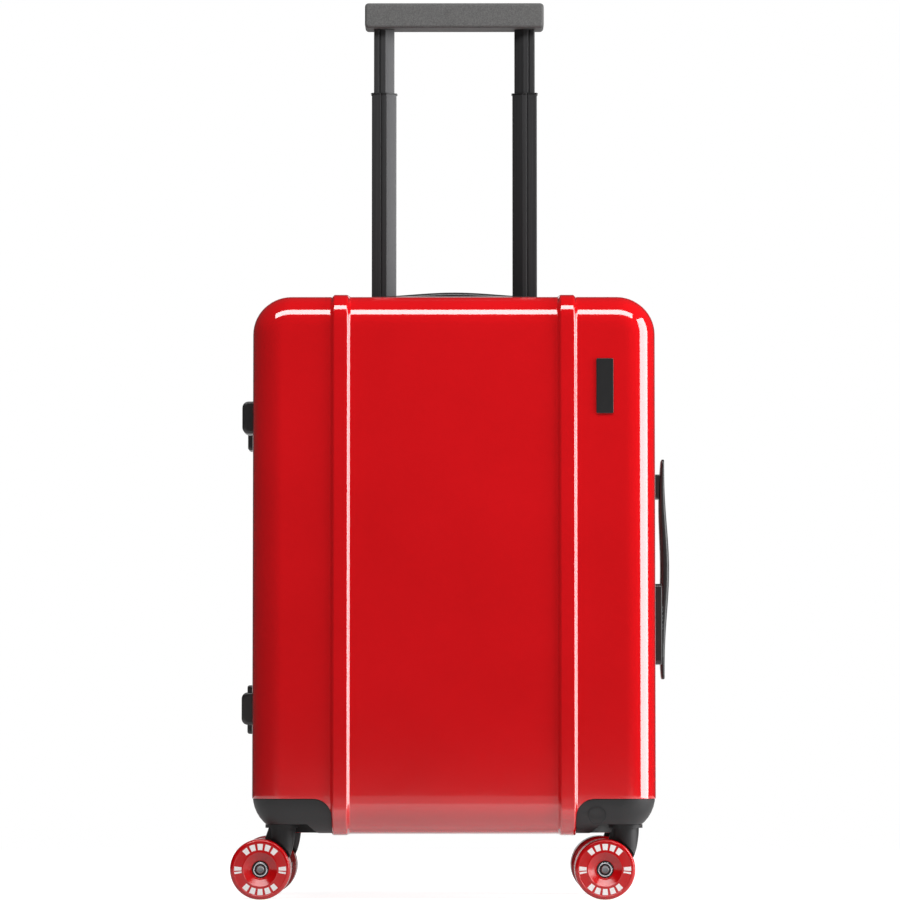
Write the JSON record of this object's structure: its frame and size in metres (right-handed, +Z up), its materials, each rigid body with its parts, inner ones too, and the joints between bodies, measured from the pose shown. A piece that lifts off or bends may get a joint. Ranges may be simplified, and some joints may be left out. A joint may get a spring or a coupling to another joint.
{
  "type": "hard shell suitcase",
  "caption": "Hard shell cabin suitcase with zip closure, telescopic trolley handle, carrying handles, and swivel casters with twin wheels.",
  "frame": {"origin": "on the floor under the middle of the case, below the seam", "axes": "+X towards the carrying handle and lock, -Y towards the opening shell's face, +Z up along the trolley"},
  "size_m": [0.4048, 0.2366, 0.8477],
  "materials": {
    "shell_red": "gloss red polycarbonate",
    "wheel_red": "gloss cast urethane",
    "guard_black": "moulded nylon, fine matt texture",
    "trim_black": "moulded ABS, satin",
    "grip_grey": "speckled matt coating",
    "tube_dark": "dark anodised",
    "steel": "ground steel",
    "dial_metal": "black zinc",
    "zip_black": "woven tape",
    "lining_grey": "woven lining"
  },
  "bodies": {
    "root": {"rear_shell": "shell_red", "rear_zip_half": "zip_black", "hinge_gusset": "zip_black", "corner_guard_rear_left": "guard_black", "corner_guard_rear_right": "guard_black", "trolley_outer_tube_left": "tube_dark", "trolley_outer_tube_right": "tube_dark", "trolley_cup": "trim_black", "trolley_foot_bracket": "trim_black", "side_handle_base": "trim_black", "top_handle_base": "trim_black", "side_foot_rear_upper": "trim_black", "side_foot_rear_lower": "trim_black"},
    "lid": {"front_shell": "shell_red", "front_zip_half": "zip_black", "divider_panel": "lining_grey", "corner_guard_front_left": "guard_black", "corner_guard_front_right": "guard_black", "lock_body": "trim_black", "side_foot_front_upper": "trim_black", "side_foot_front_lower": "trim_black", "badge": "trim_black"},
    "trolley_middle": {"trolley_middle_tube_left": "tube_dark", "trolley_middle_tube_right": "tube_dark"},
    "trolley_upper": {"trolley_upper_tube_left": "tube_dark", "trolley_upper_tube_right": "tube_dark", "trolley_grip": "grip_grey"},
    "trolley_button": {"trolley_button": "trim_black"},
    "side_handle": {"side_handle_grip": "trim_black"},
    "top_handle": {"top_handle_grip": "trim_black"},
    "zip_slider_upper": {"zip_slider_upper": "dial_metal"},
    "zip_slider_lower": {"zip_slider_lower": "dial_metal"},
    "lock_button": {"lock_button": "trim_black"},
    "lock_dial_1": {"lock_dial_1": "dial_metal"},
    "lock_dial_2": {"lock_dial_2": "dial_metal"},
    "lock_dial_3": {"lock_dial_3": "dial_metal"},
    "caster_front_left": {"caster_fork_front_left": "guard_black", "caster_axle_front_left": "steel"},
    "wheel_front_left_outer": {"wheel_front_left_outer": "wheel_red", "bearing_front_left_outer": "steel"},
    "wheel_front_left_inner": {"wheel_front_left_inner": "wheel_red", "bearing_front_left_inner": "steel"},
    "caster_front_right": {"caster_fork_front_right": "guard_black", "caster_axle_front_right": "steel"},
    "wheel_front_right_outer": {"wheel_front_right_outer": "wheel_red", "bearing_front_right_outer": "steel"},
    "wheel_front_right_inner": {"wheel_front_right_inner": "wheel_red", "bearing_front_right_inner": "steel"},
    "caster_rear_left": {"caster_fork_rear_left": "guard_black", "caster_axle_rear_left": "steel"},
    "wheel_rear_left_outer": {"wheel_rear_left_outer": "wheel_red", "bearing_rear_left_outer": "steel"},
    "wheel_rear_left_inner": {"wheel_rear_left_inner": "wheel_red", "bearing_rear_left_inner": "steel"},
    "caster_rear_right": {"caster_fork_rear_right": "guard_black", "caster_axle_rear_right": "steel"},
    "wheel_rear_right_outer": {"wheel_rear_right_outer": "wheel_red", "bearing_rear_right_outer": "steel"},
    "wheel_rear_right_inner": {"wheel_rear_right_inner": "wheel_red", "bearing_rear_right_inner": "steel"}
  },
  "joints": [
    {"name": "lid_hinge", "type": "hinge", "parent": "root", "child": "lid", "pos_m": [-0.1841, 0, 0.3051], "axis": [0, 0, -1], "range_deg": [0, 135]},
    {"name": "trolley_middle_slide", "type": "slide", "parent": "root", "child": "trolley_middle", "axis": [0, 0, 1], "range_m": [-0.2323, 0]},
    {"name": "trolley_upper_slide", "type": "slide", "parent": "trolley_middle", "child": "trolley_upper", "axis": [0, 0, 1], "range_m": [-0.0612, 0.165]},
    {"name": "trolley_button_press", "type": "slide", "parent": "trolley_upper", "child": "trolley_button", "axis": [0, 0, -1], "range_m": [0, 0.003], "stiffness_N_per_m": 600, "springref_m": -0.003},
    {"name": "side_handle_pull", "type": "slide", "parent": "root", "child": "side_handle", "axis": [1, 0, 0], "range_m": [0, 0.008], "stiffness_N_per_m": 1500, "springref_m": -0.002},
    {"name": "top_handle_pull", "type": "slide", "parent": "root", "child": "top_handle", "axis": [0, 0, 1], "range_m": [0, 0.008], "stiffness_N_per_m": 1500, "springref_m": -0.002},
    {"name": "zip_slider_upper_run", "type": "slide", "parent": "root", "child": "zip_slider_upper", "axis": [0, 0, 1], "range_m": [0, 0.235]},
    {"name": "zip_slider_lower_run", "type": "slide", "parent": "root", "child": "zip_slider_lower", "axis": [0, 0, -1], "range_m": [0, 0.13]},
    {"name": "lock_button_press", "type": "slide", "parent": "lid", "child": "lock_button", "axis": [-1, 0, 0], "range_m": [0, 0.0012], "stiffness_N_per_m": 500, "springref_m": -0.002},
    {"name": "lock_dial_1_turn", "type": "hinge", "parent": "lid", "child": "lock_dial_1", "pos_m": [0.1893, -0.025, 0.2499], "axis": [0, 0, 1], "continuous": true},
    {"name": "lock_dial_2_turn", "type": "hinge", "parent": "lid", "child": "lock_dial_2", "pos_m": [0.1893, -0.025, 0.2579], "axis": [0, 0, 1], "continuous": true},
    {"name": "lock_dial_3_turn", "type": "hinge", "parent": "lid", "child": "lock_dial_3", "pos_m": [0.1893, -0.025, 0.2659], "axis": [0, 0, 1], "continuous": true},
    {"name": "caster_swivel_front_left", "type": "hinge", "parent": "lid", "child": "caster_front_left", "pos_m": [-0.1567, -0.082, 0.0685], "axis": [0, 0, 1], "continuous": true},
    {"name": "wheel_spin_front_left_outer", "type": "hinge", "parent": "caster_front_left", "child": "wheel_front_left_outer", "pos_m": [-0.176, -0.094, 0.0275], "axis": [0, 1, 0], "continuous": true},
    {"name": "wheel_spin_front_left_inner", "type": "hinge", "parent": "caster_front_left", "child": "wheel_front_left_inner", "pos_m": [-0.176, -0.07, 0.0275], "axis": [0, 1, 0], "continuous": true},
    {"name": "caster_swivel_front_right", "type": "hinge", "parent": "lid", "child": "caster_front_right", "pos_m": [0.1567, -0.082, 0.0685], "axis": [0, 0, 1], "continuous": true},
    {"name": "wheel_spin_front_right_outer", "type": "hinge", "parent": "caster_front_right", "child": "wheel_front_right_outer", "pos_m": [0.1374, -0.094, 0.0275], "axis": [0, 1, 0], "continuous": true},
    {"name": "wheel_spin_front_right_inner", "type": "hinge", "parent": "caster_front_right", "child": "wheel_front_right_inner", "pos_m": [0.1374, -0.07, 0.0275], "axis": [0, 1, 0], "continuous": true},
    {"name": "caster_swivel_rear_left", "type": "hinge", "parent": "root", "child": "caster_rear_left", "pos_m": [-0.1567, 0.082, 0.0685], "axis": [0, 0, 1], "continuous": true},
    {"name": "wheel_spin_rear_left_outer", "type": "hinge", "parent": "caster_rear_left", "child": "wheel_rear_left_outer", "pos_m": [-0.176, 0.094, 0.0275], "axis": [0, 1, 0], "continuous": true},
    {"name": "wheel_spin_rear_left_inner", "type": "hinge", "parent": "caster_rear_left", "child": "wheel_rear_left_inner", "pos_m": [-0.176, 0.07, 0.0275], "axis": [0, 1, 0], "continuous": true},
    {"name": "caster_swivel_rear_right", "type": "hinge", "parent": "root", "child": "caster_rear_right", "pos_m": [0.1567, 0.082, 0.0685], "axis": [0, 0, 1], "continuous": true},
    {"name": "wheel_spin_rear_right_outer", "type": "hinge", "parent": "caster_rear_right", "child": "wheel_rear_right_outer", "pos_m": [0.1374, 0.094, 0.0275], "axis": [0, 1, 0], "continuous": true},
    {"name": "wheel_spin_rear_right_inner", "type": "hinge", "parent": "caster_rear_right", "child": "wheel_rear_right_inner", "pos_m": [0.1374, 0.07, 0.0275], "axis": [0, 1, 0], "continuous": true}
  ]
}
